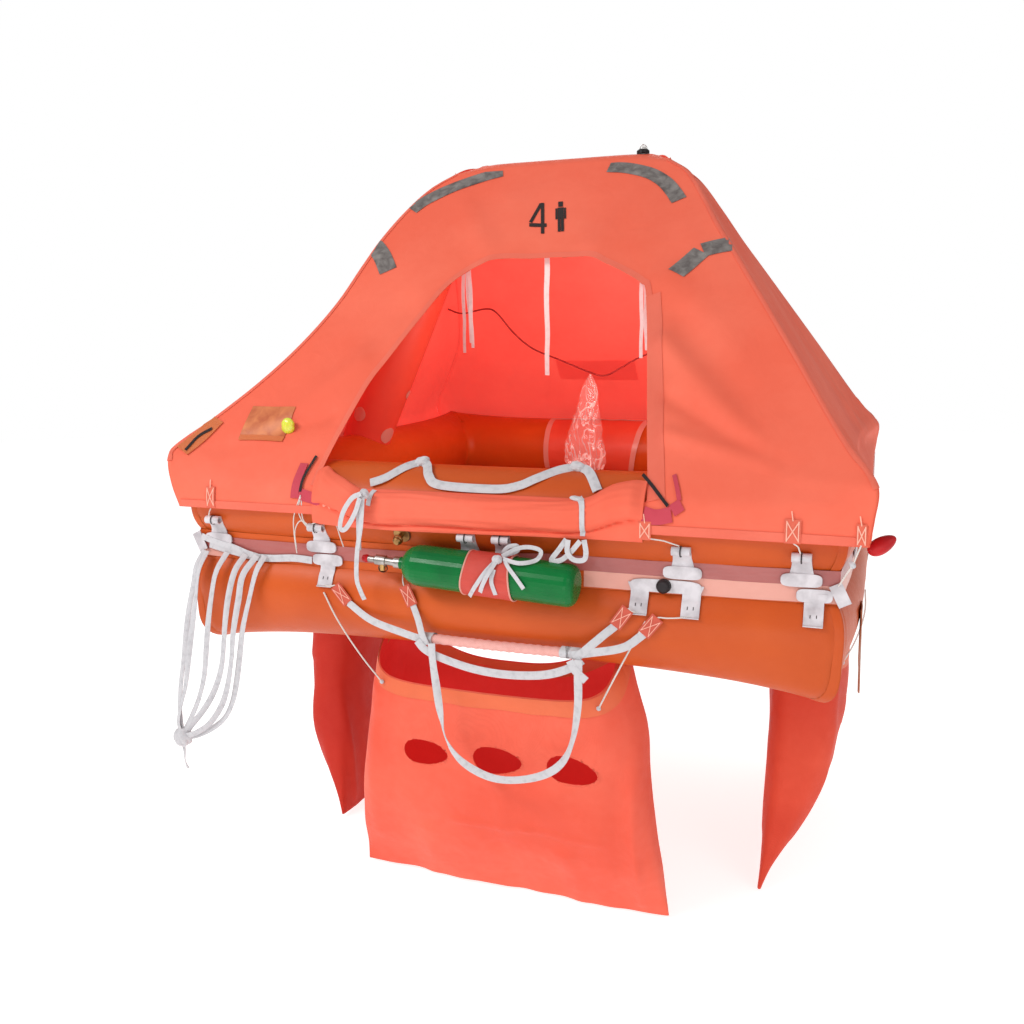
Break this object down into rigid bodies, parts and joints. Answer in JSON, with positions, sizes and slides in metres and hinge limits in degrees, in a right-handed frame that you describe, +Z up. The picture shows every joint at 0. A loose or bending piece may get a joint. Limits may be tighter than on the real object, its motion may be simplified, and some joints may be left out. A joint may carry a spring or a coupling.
{
  "type": "inflatable life raft",
  "caption": "Square inflatable life raft on stacked ring tubes, with an arch-carried canopy, an open entrance, hanging water bags, a gas cylinder and a boarding ladder.",
  "frame": {"origin": "middle of the raft at its waterline, half-way up the lower tube", "axes": "+Z up, the entrance faces -Y, +X to the right of someone who looks in at the entrance"},
  "size_m": [1.9214, 1.9529, 2.169],
  "materials": {
    "tube_cloth": "satin rubber-coated cloth",
    "canopy_cloth": "matte coated cloth",
    "bag_cloth": "matte thin cloth",
    "band_webbing": "matte ribbed tape",
    "white_webbing": "matte webbing",
    "patch_cloth": "satin glued patch",
    "bottle_paint": "gloss paint",
    "brass": "worn",
    "steel": "satin",
    "red_plastic": "satin",
    "black_plastic": "satin",
    "clear_plastic": "clear film",
    "brown_cloth": "matte cloth"
  },
  "bodies": {
    "root": {"lower_tube": "tube_cloth", "upper_tube": "tube_cloth", "arch_tube": "tube_cloth", "floor_sheet": "tube_cloth", "seam_band": "band_webbing", "canopy_front": "canopy_cloth", "canopy_back": "canopy_cloth", "canopy_left": "canopy_cloth", "canopy_right": "canopy_cloth", "door_roll": "canopy_cloth", "grab_strap": "white_webbing", "inner_tape_left": "white_webbing", "inner_tape_middle": "white_webbing", "inner_tape_right": "white_webbing", "inner_cord": "red_plastic", "clear_bag": "clear_plastic", "stowage_pouch": "bag_cloth", "fitting_upper_1": "patch_cloth", "fitting_upper_2": "patch_cloth", "fitting_upper_3": "patch_cloth", "fitting_upper_4": "patch_cloth", "fitting_lower_1": "patch_cloth", "fitting_lower_2": "patch_cloth", "fitting_double": "patch_cloth", "fitting_left_1": "patch_cloth", "fitting_left_2": "patch_cloth", "fitting_right_1": "patch_cloth", "fitting_right_2": "patch_cloth", "gas_cylinder": "bottle_paint", "cylinder_valve": "steel", "valve_cap": "red_plastic", "cylinder_sleeve": "bag_cloth", "inflation_valve": "brass", "relief_valve": "black_plastic", "lamp_base": "black_plastic", "lamp_dome": "clear_plastic", "ballast_bag_front": "bag_cloth", "ballast_bag_right": "bag_cloth", "ballast_bag_left": "bag_cloth", "bag_cord_front_1": "white_webbing", "bag_cord_front_2": "white_webbing", "bag_cord_right_1": "white_webbing", "bag_cord_right_2": "white_webbing", "bag_cord_left_1": "white_webbing", "bag_cord_left_2": "white_webbing", "ladder_rung": "band_webbing", "ladder_strap_left": "white_webbing", "ladder_strap_inner": "white_webbing", "ladder_strap_right": "white_webbing", "ladder_strap_outer": "white_webbing", "ladder_sling": "white_webbing", "ladder_loop": "white_webbing", "webbing_strand_1": "white_webbing", "webbing_strand_2": "white_webbing", "webbing_strand_3": "white_webbing", "webbing_knot": "white_webbing", "webbing_tail": "white_webbing", "corner_float": "red_plastic", "towing_tongue": "brown_cloth"}
  },
  "joints": []
}
